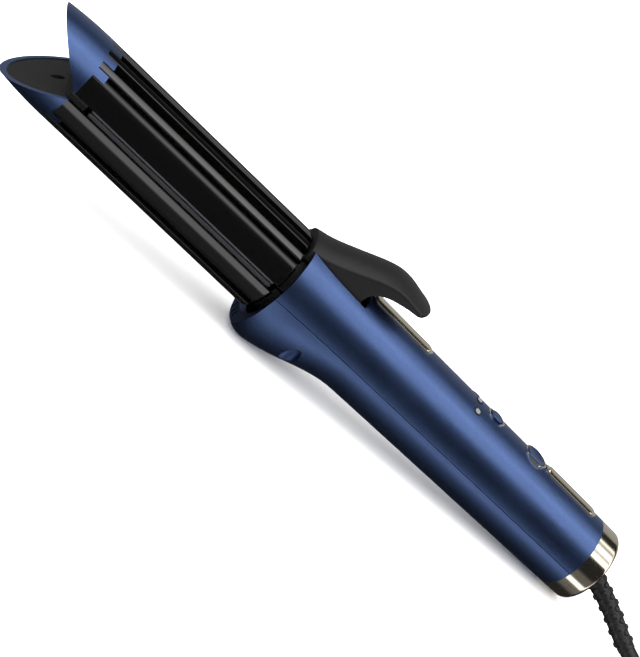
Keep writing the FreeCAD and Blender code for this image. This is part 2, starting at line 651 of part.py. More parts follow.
def cap_body(inset):
    """The tip's round outside, slightly bellied towards its smaller end."""
    bow = 0.35
    middle = V((SEAM_X + TIP_X) / 2, 0, (BARREL_R + CAP_END_R) / 2 + bow - inset)
    edges = [
        Part.Arc(V(SEAM_X, 0, BARREL_R - inset), middle, V(TIP_X, 0, CAP_END_R - inset)).toShape(),
        Part.makeLine(V(TIP_X, 0, CAP_END_R - inset), V(TIP_X, 0, 0)),
        Part.makeLine(V(TIP_X, 0, 0), V(SEAM_X, 0, 0)),
        Part.makeLine(V(SEAM_X, 0, 0), V(SEAM_X, 0, BARREL_R - inset)),
    ]
    return Part.Face(Part.Wire(edges)).revolve(V(0, 0, 0), X_AXIS, 360)


def groove_angles():
    """The middle and width of each groove between the ribs of a half-barrel."""
    half = RIB_WIDTH_ANGLE / 2
    edges = [angle for middle in RIB_ANGLES for angle in (middle - half, middle + half)]
    edges = edges[1:] + [BAND_ANGLE]
    pairs = [((a + b) / 2, b - a) for a, b in zip(edges[::2], edges[1::2])]
    return pairs + [(-middle, width) for middle, width in pairs]


def upper_tip_cap():
    cap = cap_body(0).common(above(SHELL_EDGE_Z - 0.4)).cut(cap_body(CAP_WALL)).cut(beak_plane_cut(0))
    fingers = [ring_sector(SEAM_X - 1, SEAM_X + FINGER_LENGTH, BARREL_R - GROOVE_DEPTH, BARREL_R, middle, width - 0.2)
               for middle, width in groove_angles()]
    inner = BARREL_R - GROOVE_DEPTH
    ties = [ring_sector(SEAM_X - 1.2, SEAM_X, inner, BARREL_R - 0.05, middle, width - 0.2)
            for middle, width in groove_angles()]
    return union([cap, *fingers, *ties])


def upper_tip_insert():
    body = cap_body(CAP_WALL).cut(beak_plane_cut(INSERT_RECESS)).common(above(PLATE_GAP))
    body = body.cut(box(SEAM_X - 1.2, SEAM_X + 1, -FAR, FAR, FRAME_R, FAR))
    rear = SEAM_X + INSERT_BACK
    block = half_disc(FRAME_R, SEAM_X - 1, rear, TIP_OPEN_Z)
    tongue_end = SEAM_X + INSERT_TONGUE
    tongue = box(SEAM_X - 1, tongue_end, -PLATE_HALF_WIDTH, PLATE_HALF_WIDTH, PLATE_GAP, TIP_OPEN_Z + 0.2)
    insert = union([body, block, tongue]).cut(upper_tip_cap())
    head = rod(TIP_SCREW_HEAD_R, V(TIP_X - 1, 0, TIP_SCREW_Z), X_AXIS, -TIP_X + 1 + SEAM_X + 0.5)
    shank = rod(TIP_SCREW_R, V(TIP_X, 0, TIP_SCREW_Z), X_AXIS, CAP_LENGTH + INSERT_BACK + 1)
    return insert.cut(head).cut(shank)


def upper_tip_screw():
    head_x = SEAM_X - 1.5
    head = rod(TIP_SCREW_HEAD_R, V(head_x, 0, TIP_SCREW_Z), X_AXIS, SEAM_X + 0.5 - head_x)
    cross = [box(head_x - 1, head_x + 0.8, -0.3, 0.3, TIP_SCREW_Z - 1.1, TIP_SCREW_Z + 1.1),
             box(head_x - 1, head_x + 0.8, -1.1, 1.1, TIP_SCREW_Z - 0.3, TIP_SCREW_Z + 0.3)]
    shank = rod(TIP_SCREW_R, V(SEAM_X, 0, TIP_SCREW_Z), X_AXIS, INSERT_BACK + 4)
    return union([head, shank]).cut(union(cross))


# ---- heat plates ----
def upper_heat_plate():
    lip = box(PLATE_FRONT_X, PLATE_REAR_X, -PLATE_HALF_WIDTH, PLATE_HALF_WIDTH, PLATE_GAP, PLATE_GAP + PLATE_LIP)
    sides = [e for e in lip.Edges if abs(e.CenterOfMass.z - PLATE_GAP) < 0.01]
    lip = lip.makeFillet(PLATE_ROUNDING, sides)
    side = PLATE_CORE_HALF_WIDTH
    core = box(PLATE_FRONT_X + 1, PLATE_REAR_X - 1, -side, side, PLATE_GAP + PLATE_LIP - 0.5, PLATE_CORE_TOP)
    return union([lip, core])


def upper_heater():
    length = (PLATE_REAR_X - PLATE_FRONT_X) / 2 - 8
    first = PLATE_FRONT_X + 5
    second = PLATE_REAR_X - 5 - length
    top = PLATE_CORE_TOP + HEATER_THICKNESS
    return Part.makeCompound([box(x, x + length, -6.5, 6.5, PLATE_CORE_TOP, top) for x in (first, second)])


def upper_thermal_cutout():
    middle = (PLATE_FRONT_X + PLATE_REAR_X) / 2
    return rod(1.4, V(middle, -5, PLATE_CORE_TOP + 1.4), Y_AXIS, 10)


def upper_plate_springs():
    """Two small coil springs between the plate and the roof of its pocket."""
    springs = []
    height = POCKET_TOP - PLATE_CORE_TOP
    turns = (height - 2 * SPRING_WIRE_R) / SPRING_PITCH
    for y in (-1, 1):
        for x in (PLATE_FRONT_X + 3.2, PLATE_REAR_X - 4.4):
            helix = Part.makeHelix(SPRING_PITCH, SPRING_PITCH * turns, SPRING_R - SPRING_WIRE_R)
            ring = Part.Wire(Part.makeCircle(SPRING_WIRE_R, V(SPRING_R - SPRING_WIRE_R, 0, 0), V(0, 1, 0)))
            coil = Part.Wire(helix).makePipeShell([ring], True, True)
            coil.translate(V(x, y * (PLATE_CORE_HALF_WIDTH - 2.6), PLATE_CORE_TOP + SPRING_WIRE_R))
            springs.append(coil)
    return Part.makeCompound(springs)


# ---- thumb lever ----
def lever_section(x, crown, crease, half):
    base_half = min(half, LEVER_HALF_WIDTH)
    low, high = LEVER_SADDLE_Z, crease
    points = [V(x, -base_half, low), V(x, -half, high), V(x, half, high), V(x, base_half, low)]
    return Part.Wire([
        Part.makeLine(points[0], points[1]),
        Part.Arc(points[1], V(x, 0, crown), points[2]).toShape(),
        Part.makeLine(points[2], points[3]),
        Part.makeLine(points[3], points[0]),
    ])


def lever_underside():
    """The thumb room under the lever's free end."""
    outline = [V(LEVER_FLANK_X, 0, LEVER_SADDLE_Z - 1), V(LEVER_FLANK_X, 0, LEVER_FLANK_TOP)]
    curve = Part.BSplineCurve()
    curve.interpolate([outline[-1]] + [V(x, 0, z) for x, z in LEVER_ROOM])
    end = V(LEVER_ROOM[-1][0], 0, LEVER_ROOM[-1][1])
    corner = V(end.x, 0, LEVER_SADDLE_Z - 1)
    edges = [
        Part.makeLine(outline[0], outline[1]),
        curve.toShape(),
        Part.makeLine(end, corner),
        Part.makeLine(corner, outline[0]),
    ]
    face = Part.Face(Part.Wire(edges))
    face.translate(V(0, -FAR / 4, 0))
    return face.extrude(V(0, FAR / 2, 0))


def lever_plan():
    """Seen from above, the lever has straight sides and a rounded end."""
    half = LEVER_HALF_WIDTH + 2
    square_x = LEVER_TIP_X - 9
    edges = [
        Part.makeLine(V(-5, -half, 0), V(square_x, -half, 0)),
        Part.Arc(V(square_x, -half, 0), V(LEVER_TIP_X, 0, 0), V(square_x, half, 0)).toShape(),
        Part.makeLine(V(square_x, half, 0), V(-5, half, 0)),
        Part.makeLine(V(-5, half, 0), V(-5, -half, 0)),
    ]
    return Part.Face(Part.Wire(edges)).extrude(V(0, 0, FAR / 4))


def lever_screw_rods(radius):
    return union([rod(radius, V(LEVER_SCREW_X, side * LEVER_SCREW_Y, LEVER_SCREW_Z), Z_AXIS, LEVER_SCREW_LENGTH)
                  for side in (-1, 1)])


def lever_screw_heads(radius, start_z):
    height = LEVER_SCREW_Z + LEVER_SCREW_HEAD_HEIGHT - start_z
    return union([rod(radius, V(LEVER_SCREW_X, side * LEVER_SCREW_Y, start_z), Z_AXIS, height) for side in (-1, 1)])


def lever_screws():
    heads = lever_screw_heads(LEVER_SCREW_HEAD_R, LEVER_SCREW_Z)
    return lever_screw_rods(SCREW_SHANK_R).fuse(heads).removeSplitter()


def thumb_lever():
    block = Part.makeLoft([lever_section(*section) for section in LEVER_SECTIONS], True, False)
    lever = block.cut(lever_underside()).common(lever_plan())
    knuckle_room = rod(EYE_R + 2.2, V(PIN_X, -SPRING_SLOT_HALF, PIN_Z), Y_AXIS, 2 * SPRING_SLOT_HALF)
    lever = lever.cut(upper_arm_frame()).cut(knuckle_room).cut(upper_barrel_shell())
    lever = lever.cut(lever_screw_rods(SCREW_SHANK_R))
    return max(lever.Solids, key=lambda solid: solid.Volume)


# ---- controls and trim ----
def strip_layer(span, width, low, high):
    x0, x1 = span
    half = width / 2
    plan = union([
        box(x0 + half, x1 - half, -half, half, 0, FAR),
        rod(half, V(x0 + half, 0, 0), Z_AXIS, FAR),
        rod(half, V(x1 - half, 0, 0), Z_AXIS, FAR),
    ])
    return plan.common(round_body(-high, 20, SHELL_END_X)).cut(round_body(-low, 19, SHELL_END_X + 1))


def trim_strip(span):
    base = strip_layer(span, STRIP_WIDTH, 0, STRIP_BASE_HEIGHT)
    inner = (span[0] + 1.3, span[1] - 1.3)
    return union([base, strip_layer(inner, STRIP_CROWN_WIDTH, 0, STRIP_CROWN_HEIGHT)])


def led_bezels():
    rings = []
    for angle in LED_ANGLES:
        ring = radial_rod(LED_BEZEL_R, LED_X, angle, SHELL_WALL, 0.15)
        rings.append(ring.cut(radial_rod(LED_R, LED_X, angle, 4, 2)))
    return Part.makeCompound(rings)


def led_lenses():
    return Part.makeCompound([radial_rod(LED_R, LED_X, angle, SHELL_WALL + 1, 0.3) for angle in LED_ANGLES])


def heat_arc_blank():
    arcs = []
    for middle in (0, 180):
        disc = radial_rod(HEAT_ARC_OUTER_R, HEAT_X, 0, 0.7, 0.25)
        disc = disc.cut(radial_rod(HEAT_ARC_INNER_R, HEAT_X, 0, 2, 2))
        half = HEAT_ARC_ANGLE / 2
        reach = 3 * HEAT_ARC_OUTER_R
        wedge = [V(HEAT_X, 0, 0)] + [
            V(HEAT_X + reach * math.cos(math.radians(middle + a)), reach * math.sin(math.radians(middle + a)), 0)
            for a in (-half, 0, half)]
        face = Part.Face(Part.makePolygon(wedge + wedge[:1]))
        arcs.append(disc.common(face.extrude(V(0, 0, FAR / 4))))
    return Part.makeCompound(arcs)


def switch_top_z():
    return BOARD_Z + BOARD_THICKNESS + SWITCH_HEIGHT


def button(x, radius, dish_r):
    """A push button with a stem that reaches into its switch."""
    face_z = body_radius(x) + BUTTON_PROUD
    cap = rod(radius, V(x, 0, body_radius(x) - SHELL_WALL - 0.6), Z_AXIS, SHELL_WALL + 0.6 + BUTTON_PROUD)
    rim = [e for e in cap.Edges if abs(e.CenterOfMass.z - face_z) < 0.01 and len(e.Vertexes) == 1]
    cap = cap.makeFillet(0.5, rim)
    if dish_r:
        cap = cap.cut(Part.makeSphere(dish_r, V(x, 0, face_z + dish_r - 0.8)))
    stem_low = switch_top_z() - BUTTON_TRAVEL
    stem = rod(STEM_R, V(x, 0, stem_low), Z_AXIS, body_radius(x) - SHELL_WALL - stem_low)
    return union([cap, stem])


def heat_button():
    return button(HEAT_X, HEAT_R, 0)


def power_button():
    return button(POWER_X, POWER_R, POWER_DISH_R)


def power_bezel():
    ring = radial_rod(POWER_BEZEL_R, POWER_X, 0, SHELL_WALL + 0.4, 0.35)
    return ring.cut(radial_rod(POWER_R + BUTTON_CLEARANCE, POWER_X, 0, 5, 5))


def control_board():
    x0, x1 = BOARD_X
    board = box(x0, x1, -BOARD_HALF_WIDTH, BOARD_HALF_WIDTH, BOARD_Z, BOARD_Z + BOARD_THICKNESS)
    underside = BOARD_Z
    chips = [box(x0 + 24, x0 + 32, -4, 4, underside - 1.6, underside),
             rod(3.2, V(x0 + 50, 3, underside - 7), Z_AXIS, 7),
             box(x0 + 36, x0 + 46, -7, -1, underside - 4, underside),
             box(x0 + 3, x0 + 9, -6, 6, underside - 3.5, underside)]
    return union([board, *chips])


def tact_switches():
    half = SWITCH_SIZE / 2
    base = BOARD_Z + BOARD_THICKNESS
    well = 2 * BUTTON_TRAVEL + 0.3
    switches = []
    for x in (HEAT_X, POWER_X):
        body = box(x - half, x + half, -half, half, base, base + SWITCH_HEIGHT)
        switches.append(body.cut(rod(STEM_R + 0.1, V(x, 0, switch_top_z() - well), Z_AXIS, well + 1)))
    return Part.makeCompound(switches)


def handle_screws():
    screws = []
    for side in (-1, 1):
        head = rod(SCREW_HEAD_R, V(BOSS_X, side * BOSS_Y, RECESS_FLOOR_Z - 1.6), Z_AXIS, 1.6)
        cross = union([box(BOSS_X - 1.5, BOSS_X + 1.5, side * BOSS_Y - 0.3, side * BOSS_Y + 0.3,
                           RECESS_FLOOR_Z - 2, RECESS_FLOOR_Z - 0.8),
                       box(BOSS_X - 0.3, BOSS_X + 0.3, side * BOSS_Y - 1.5, side * BOSS_Y + 1.5,
                           RECESS_FLOOR_Z - 2, RECESS_FLOOR_Z - 0.8)])
        shank_length = WING_HIGH_Z + 8 - RECESS_FLOOR_Z
        shank = rod(SCREW_SHANK_R, V(BOSS_X, side * BOSS_Y, RECESS_FLOOR_Z), Z_AXIS, shank_length)
        screws.append(head.cut(cross).fuse(shank))
    return Part.makeCompound(screws)


# ---- fan ----
def fan_outer_radius():
    return body_radius(FAN_X + FAN_LENGTH) - SHELL_WALL - FAN_SHELL_GAP


def fan_housing():
    outer = fan_outer_radius()
    duct = rod(outer - FAN_WALL, V(FAN_X - 1, 0, 0), X_AXIS, FAN_LENGTH + 2)
    tube = rod(outer, V(FAN_X, 0, 0), X_AXIS, FAN_LENGTH).cut(duct)
    holder_x = FAN_X + IMPELLER_LENGTH + 4
    holder = rod(MOTOR_R + 1, V(holder_x, 0, 0), X_AXIS, FAN_X + FAN_LENGTH - holder_x)
    struts = []
    for k in range(3):
        strut = box(holder_x, FAN_X + FAN_LENGTH, -0.8, 0.8, MOTOR_R, outer - FAN_WALL / 2)
        strut.rotate(V(0, 0, 0), X_AXIS, 120 * k + 60)
        struts.append(strut)
    return union([tube, holder, *struts]).cut(fan_motor_body())


def fan_motor_body():
    return rod(MOTOR_R, V(FAN_X + IMPELLER_LENGTH + 3, 0, 0), X_AXIS, MOTOR_LENGTH)


def fan_motor():
    front = FAN_X + IMPELLER_LENGTH + 3
    bore = rod(SHAFT_R + PIN_CLEARANCE, V(front - 1, 0, 0), X_AXIS, 7)
    boss = rod(2.4, V(front + MOTOR_LENGTH, 0, 0), X_AXIS, 1.5)
    return union([fan_motor_body(), boss]).cut(bore)


def fan_impeller():
    start = FAN_X + 1.5
    tip = fan_outer_radius() - FAN_WALL - IMPELLER_TIP_GAP
    hub = turned([
        (start, IMPELLER_HUB_R - 1.5),
        (start + 1.5, IMPELLER_HUB_R),
        (start + IMPELLER_LENGTH, IMPELLER_HUB_R),
    ])
    shaft = rod(SHAFT_R, V(start + IMPELLER_LENGTH - 1, 0, 0), X_AXIS, 6.5)
    blades = []
    for k in range(BLADE_COUNT):
        blade = box(-IMPELLER_LENGTH * 0.45, IMPELLER_LENGTH * 0.45, -BLADE_THICKNESS / 2, BLADE_THICKNESS / 2,
                    IMPELLER_HUB_R - 1, tip)
        blade.rotate(V(0, 0, 0), Z_AXIS, BLADE_TWIST)
        blade.translate(V(start + IMPELLER_LENGTH / 2, 0, 0))
        blade.rotate(V(0, 0, 0), X_AXIS, 360 * k / BLADE_COUNT)
        blades.append(blade)
    rim = rod(tip, V(start, 0, 0), X_AXIS, IMPELLER_LENGTH)
    return hub.fuse(shaft).multiFuse([blade.common(rim) for blade in blades])


# ---- cord, in the placed frame ----
def tube_path(points):
    """Straight runs joined by tangent arcs, each as large as its two runs allow."""
    edges, radii = [], []
    here = points[0]
    for before, corner, after in zip(points, points[1:], points[2:]):
        back, ahead = (before - corner), (after - corner)
        turn = math.pi - back.getAngle(ahead)
        trim = 0.45 * min(back.Length, ahead.Length)
        radii.append(trim / math.tan(turn / 2))
        back.normalize()
        ahead.normalize()
        start, end = corner + back * trim, corner + ahead * trim
        inward = (back + ahead).normalize()
        centre = corner + inward * (radii[-1] / math.cos(turn / 2))
        edges.append(Part.LineSegment(here, start).toShape())
        edges.append(Part.Arc(start, centre - inward * radii[-1], end).toShape())
        here = end
    edges.append(Part.LineSegment(here, points[-1]).toShape())
    return Part.Wire(edges), radii


def tube(points, radius):
    path, radii = tube_path(points)
    ring = Part.Wire(Part.makeCircle(radius, points[0], points[1] - points[0]))
    solid = path.makePipeShell([ring], True, True, 2)
    share = solid.Volume / (math.pi * radius ** 2 * path.Length)
    print(f"tube of {path.Length:.1f} mm, radii {[round(r, 1) for r in radii]}, volume share {share:.4f}")
    return solid


def relief_sleeve():
    """The strain relief: a bell at its root, then a long sleeve round the first of the cord."""
    root = CORD_ROUTE[0]
    out = (CORD_ROUTE[1] - root).normalize()
    bell = Part.makeCone(RELIEF_ROOT_R, RELIEF_R, RELIEF_BELL, root, out)
    path, _ = tube_path(CORD_ROUTE[:4])
    ring = Part.Wire(Part.makeCircle(RELIEF_R, root, out))
    sleeve = path.makePipeShell([ring], True, True, 2)
    end = path.discretize(Distance=1.0)[int(RELIEF_LENGTH)]
    ahead = (path.discretize(Distance=1.0)[int(RELIEF_LENGTH) + 1] - end).normalize()
    return bell.fuse(sleeve), end, ahead


def strain_relief(cord, ball):
    sleeve, end, ahead = relief_sleeve()
    beyond = rod(FAR / 8, end, ahead, FAR / 4)
    return sleeve.cut(beyond).cut(cord).cut(ball)


def hank_outline(radius, waist):
    """Two round ends joined by a narrower waist, drawn up from the surface."""
    half = HANK_HALF_STRAIGHT
    ends = [rod(radius, V(HANK_X + side * half, 0, 0), Z_AXIS, HANK_HEIGHT) for side in (-1, 1)]
    shoulder = radius * math.cos(math.radians(20))
    inset = radius * math.sin(math.radians(20))
    outline = []
    for side_x, side_y in ((-1, -1), (1, -1), (1, 1), (-1, 1)):
        corner = V(HANK_X + side_x * (half - inset), side_y * shoulder, 0)
        pinch = V(HANK_X + side_x * TIE_WIDTH / 2, side_y * waist, 0)
        outline += [corner, pinch] if side_x == side_y else [pinch, corner]
    middle = Part.Face(Part.makePolygon(outline + outline[:1])).extrude(V(0, 0, HANK_HEIGHT))
    return union([*ends, middle])


def hank_tie():
    half_y, top = HANK_WAIST + TIE_THICKNESS, HANK_HEIGHT + TIE_THICKNESS
    band = box(HANK_X - TIE_WIDTH / 2, HANK_X + TIE_WIDTH / 2, -half_y, half_y, 0, top)
    edges = [e for e in band.Edges if abs(e.Length - TIE_WIDTH) < 0.01]
    band = band.makeFillet(3.0, edges)
    hollow = box(HANK_X - TIE_WIDTH, HANK_X + TIE_WIDTH, -HANK_WAIST, HANK_WAIST, TIE_THICKNESS, HANK_HEIGHT)
    edges = [e for e in hollow.Edges if abs(e.Length - 2 * TIE_WIDTH) < 0.01]
    return band.cut(hollow.makeFillet(2.0, edges))


def cord_hank(neighbours):
    hank = hank_outline(HANK_OUTER_R, HANK_WAIST)
    for side in (-1, 1):
        hole = rod(HANK_INNER_R, V(HANK_X + side * HANK_HALF_STRAIGHT, 0, -1), Z_AXIS, HANK_HEIGHT + 2)
        wedge = [V(HANK_X + side * (HANK_HALF_STRAIGHT - 6), -HANK_INNER_R + 1, -1),
                 V(HANK_X + side * 12, 0, -1),
                 V(HANK_X + side * (HANK_HALF_STRAIGHT - 6), HANK_INNER_R - 1, -1)]
        notch = Part.Face(Part.makePolygon(wedge + wedge[:1])).extrude(V(0, 0, HANK_HEIGHT + 2))
        hank = hank.cut(hole).cut(notch)
    for neighbour in neighbours:
        hank = hank.cut(neighbour)
    return max(hank.Solids, key=lambda solid: solid.Volume)


def plug_body():
    end = CORD_TAIL_ROUTE[-1]
    half = PLUG_WIDTH / 2
    low = end.z - PLUG_THICKNESS / 2
    body = box(end.x, end.x + PLUG_LENGTH, -half, half, low, low + PLUG_THICKNESS)
    along = [e for e in body.Edges if abs(e.Length - PLUG_LENGTH) < 0.01]
    body = body.makeFillet(PLUG_ROUNDING, along)
    for side in (-1, 1):
        shoulder = prism_plan([
            (end.x - 1, side * PLUG_NECK_HALF_WIDTH),
            (end.x + PLUG_SHOULDER_LENGTH, side * (half + 0.5)),
            (end.x - 1, side * (half + 6)),
        ])
        body = body.cut(shoulder)
    return body.cut(plug_pins())


def prism_plan(points):
    wire = Part.makePolygon([V(x, y, 0) for x, y in points + points[:1]])
    return Part.Face(wire).extrude(V(0, 0, FAR / 4))


def plug_pins():
    face = CORD_TAIL_ROUTE[-1].x + PLUG_LENGTH
    height = CORD_TAIL_ROUTE[-1].z
    pins = []
    for side in (-1, 1):
        root = V(face - PIN_ROOT, side * PIN_HALF_SPACING, height)
        bare = V(face + PIN_SLEEVE_LENGTH, side * PIN_HALF_SPACING, height)
        end = rod(PLUG_PIN_R, bare, X_AXIS, PIN_LENGTH - PIN_SLEEVE_LENGTH)
        tip = [e for e in end.Edges if len(e.Vertexes) == 1 and e.CenterOfMass.x > bare.x + 1]
        sleeved = rod(PIN_SLEEVE_R, root, X_AXIS, PIN_ROOT + PIN_SLEEVE_LENGTH)
        pins.append(sleeved.fuse(end.makeFillet(PIN_TIP_ROUNDING, tip)))
    return Part.makeCompound(pins)


# ---- the whole tool ----
def build_tool():
    """Every piece of the tool itself, in the tool's frame."""
    pieces = {
        "upper_handle_shell": upper_handle_shell(),
        "lower_handle_shell": lower_handle_shell(),
        "tail_ring": tail_ring(),
        "tail_end_plate": tail_end_plate(),
        "swivel_socket": swivel_socket(),
        "front_trim_strip": trim_strip(FRONT_STRIP),
        "rear_trim_strip": trim_strip(REAR_STRIP),
        "hinge_pin": hinge_pin(),
        "clamp_spring": clamp_spring(),
        "handle_screws": handle_screws(),
        "control_board": control_board(),
        "tact_switches": tact_switches(),
        "led_bezels": led_bezels(),
        "led_lenses": led_lenses(),
        "heat_button_arcs": heat_arc_blank(),
        "power_bezel": power_bezel(),
        "fan_housing": fan_housing(),
        "fan_motor": fan_motor(),
        "lower_arm_frame": lower_arm_frame(),
        "upper_arm_frame": upper_arm_frame(),
        "thumb_lever": thumb_lever(),
        "lever_screws": lever_screws(),
        "heat_button": heat_button(),
        "power_button": power_button(),
        "fan_impeller": fan_impeller(),
        "swivel_ball": swivel_ball(),
    }
    halves = {
        "barrel_shell": upper_barrel_shell(),
        "tip_cap": upper_tip_cap(),
        "tip_insert": upper_tip_insert(),
        "tip_screw": upper_tip_screw(),
        "heat_plate": upper_heat_plate(),
        "heater": upper_heater(),
        "thermal_cutout": upper_thermal_cutout(),
        "plate_springs": upper_plate_springs(),
    }
    for name, shape in halves.items():
        pieces["upper_" + name] = shape
        pieces["lower_" + name] = mirrored(shape)
    return pieces


def place(pieces):
    """Lay the tool on its foot and tail ring, and put the origin under the middle of its box."""
    pitch, touch = rest_line()
    for shape in pieces.values():
        shape.rotate(touch, Y_AXIS, math.degrees(pitch))
    bounds = Part.makeCompound(list(pieces.values())).optimalBoundingBox(False, False)
    shift = V(-(bounds.XMin + bounds.XMax) / 2, 0, -bounds.ZMin)
    for shape in pieces.values():
        shape.translate(shift)
    print(f"pitch {math.degrees(pitch):.4f} degrees about ({touch.x:.3f}, {touch.z:.3f}), then moved by {shift}")
    return pieces


def build_cord(ball):
    """The cord and what is on it, where it lies on the surface, with the swivel ball bored for it."""
    cord = tube(CORD_ROUTE, CORD_R)
    tail = tube(CORD_TAIL_ROUTE, CORD_R)
    tie = hank_tie().cut(tail)
    return {
        "swivel_ball": ball.cut(cord),
        "strain_relief": strain_relief(cord, ball),
        "cord_run": cord,
        "cord_tail": tail,
        "hank_tie": tie,
        "cord_hank": cord_hank([cord, tail, tie]),
        "plug_body": plug_body().cut(tail),
        "plug_pins": plug_pins(),
    }


def main():
    nodes = place(build_tool())
    nodes.update(build_cord(nodes["swivel_ball"]))
    for name, shape in nodes.items():
        solids = shape.Solids
        if not shape.isValid() or not solids:
            print(f"{name}: not valid")
        print(f"{name}: {len(solids)} solid(s), {shape.Volume:.1f} mm3")
        shape.exportStep(f"parts/{name}.step")


main()
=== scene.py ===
# %% [markdown]
# # A corded hair styler with a split, ribbed barrel
#
# This notebook dresses a finished CAD model. The model arrives as fixed pieces, one for each part of the
# styler, already in place and in metres. Here every piece gets its finish. The cord and the boot that
# guards it are modelled anew, and three soft mouldings are rounded.

# %% Load the fixed frame
import json
import math

import bmesh
import bpy
from mathutils import Matrix, Vector


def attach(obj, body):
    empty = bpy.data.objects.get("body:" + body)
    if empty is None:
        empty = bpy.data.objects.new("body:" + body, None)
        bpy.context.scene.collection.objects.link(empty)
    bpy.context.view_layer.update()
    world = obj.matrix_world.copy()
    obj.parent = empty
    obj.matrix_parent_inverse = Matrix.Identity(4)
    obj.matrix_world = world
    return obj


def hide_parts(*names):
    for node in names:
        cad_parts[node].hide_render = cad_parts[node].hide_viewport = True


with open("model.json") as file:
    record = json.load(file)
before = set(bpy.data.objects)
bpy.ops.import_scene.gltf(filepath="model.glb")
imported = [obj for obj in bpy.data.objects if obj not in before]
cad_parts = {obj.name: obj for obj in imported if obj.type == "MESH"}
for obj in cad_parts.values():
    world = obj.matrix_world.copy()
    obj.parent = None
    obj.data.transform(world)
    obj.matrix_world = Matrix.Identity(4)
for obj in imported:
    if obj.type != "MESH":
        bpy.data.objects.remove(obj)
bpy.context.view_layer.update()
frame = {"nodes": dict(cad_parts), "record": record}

MM = 0.001

# %% [markdown]
# ## The camera
#
# A long lens from about a metre away, above and in front of the tool. It is rolled, so that the tool
# runs from the top left corner to the bottom right one.

# %% Camera
CAMERA_PLACE = Vector((-0.3283, -0.9399, 0.3948))
camera = bpy.data.objects.new("camera", bpy.data.cameras.new("camera"))
bpy.context.scene.collection.objects.link(camera)
camera.data.lens = 153.6
camera.data.sensor_width = 36.0
camera.data.clip_start = 0.05
camera.data.clip_end = 30.0
right = Vector((0.7290, 0.0150, 0.6845)).normalized()
back = Vector((-0.3115, -0.8829, 0.3512)).normalized()
up = back.cross(right).normalized()
right = up.cross(back)
camera.matrix_world = Matrix((
    (right.x, up.x, back.x, CAMERA_PLACE.x),
    (right.y, up.y, back.y, CAMERA_PLACE.y),
    (right.z, up.z, back.z, CAMERA_PLACE.z),
    (0, 0, 0, 1),
))
bpy.context.scene.camera = camera
print("camera:", camera.data.lens, "mm lens,", round(CAMERA_PLACE.length, 3), "m from the origin")

# %% [markdown]
# ## The cord
#
# The cord is one smooth line: out of the swivel, down to the surface, and into a hank of folded turns
# that a band holds at its waist. A NURBS spline of order 3 is the right tool, since its control points
# say where the line turns and it never shows a corner. Each turn of the hank is the same dog-bone,
# wider or narrower and one layer higher, so the turns come from a loop: a turn changes layer or
# goes inside its neighbour only where the turn beside it has already made room.

# %% Route of the cord
CORD_RADIUS = 3.25 * MM
LAYER = 2 * CORD_RADIUS
HANK_X = 273.0 * MM
LOBE_X = 42.5 * MM
OUTER, INNER = 26.0 * MM, 19.5 * MM
OUTER_WAIST, INNER_WAIST = 10.15 * MM, 3.5 * MM
WAIST_X = 9 * MM
LOBE_START, LOBE_STEP, TURN_START = -95.8, 38.33, 275.8  # degrees round a lobe
TURNS = 5
cord_route = [(151.6, 0.0, 16.8), (165.2, -3.7, 14.1), (185.4, -20.0, 5.6), (203.0, -26.6, 3.35),
              (218.0, -25.6, 3.25)]
cord_route = [Vector(point) * MM for point in cord_route]

# each lane is (how far in, which layer), and changes are the shares of a turn where the cord moves on
lanes = [(0.0, 0.0), (1.0, 0.0), (1.0, 1.0), (0.0, 1.0), (0.0, 2.0), (1.0, 2.0)]
changes = [(0.88, 0.99), (0.77, 0.88), (0.66, 0.77), (0.40, 0.55), (0.24, 0.40)]


def lane_at(turn, share):
    """How far in and how high the cord lies at this share of a turn."""
    start, end = changes[turn]
    step = min(max((share - start) / (end - start), 0.0), 1.0)
    step = step * step * (3 - 2 * step)
    before, after = lanes[turn], lanes[turn + 1]
    return before[0] + (after[0] - before[0]) * step, before[1] + (after[1] - before[1]) * step


def turn_places():
    """One dog-bone turn as (share of the turn, lobe side, angle), or a place at the waist."""
    places = [(0.00, -1, TURN_START)]
    places += [(0.11, 0, -1), (0.16, 0, 1)]
    places += [(0.27 + 0.04 * k, 1, LOBE_START + LOBE_STEP * k) for k in range(6)]
    places += [(0.61, 0, 1), (0.66, 0, -1)]
    places += [(0.77 + 0.04 * k, -1, LOBE_START + 180 + LOBE_STEP * k) for k in range(5)]
    return places


LOBE_SPREAD = 1 / math.cos(math.radians(LOBE_STEP / 2))
turn_points = []
for turn in range(TURNS):
    for share, side, value in turn_places():
        inward, layer = lane_at(turn, share)
        height = CORD_RADIUS + LAYER * layer
        if side:
            radius = (OUTER + (INNER - OUTER) * inward) * LOBE_SPREAD
            angle = math.radians(value)
            turn_points.append(Vector((HANK_X + side * LOBE_X + radius * math.cos(angle),
                                       radius * math.sin(angle), height)))
        else:
            waist = OUTER_WAIST + (INNER_WAIST - OUTER_WAIST) * inward
            front = -1 if share < 0.5 else 1
            turn_points.append(Vector((HANK_X + value * WAIST_X, front * waist, height)))
tail_route = [(-47.0, -20.5, 16.25), (-33.0, -17.5, 17.6), (-20.0, -11.5, 21.0), (-8.0, -5.0, 26.0),
              (8.0, -1.0, 26.0), (24.0, 0.0, 26.5)]
tail_points = [Vector((HANK_X / MM + x, y, z)) * MM for x, y, z in tail_route]
cord_points = cord_route + turn_points + tail_points
print("control points of the cord:", len(cord_points))

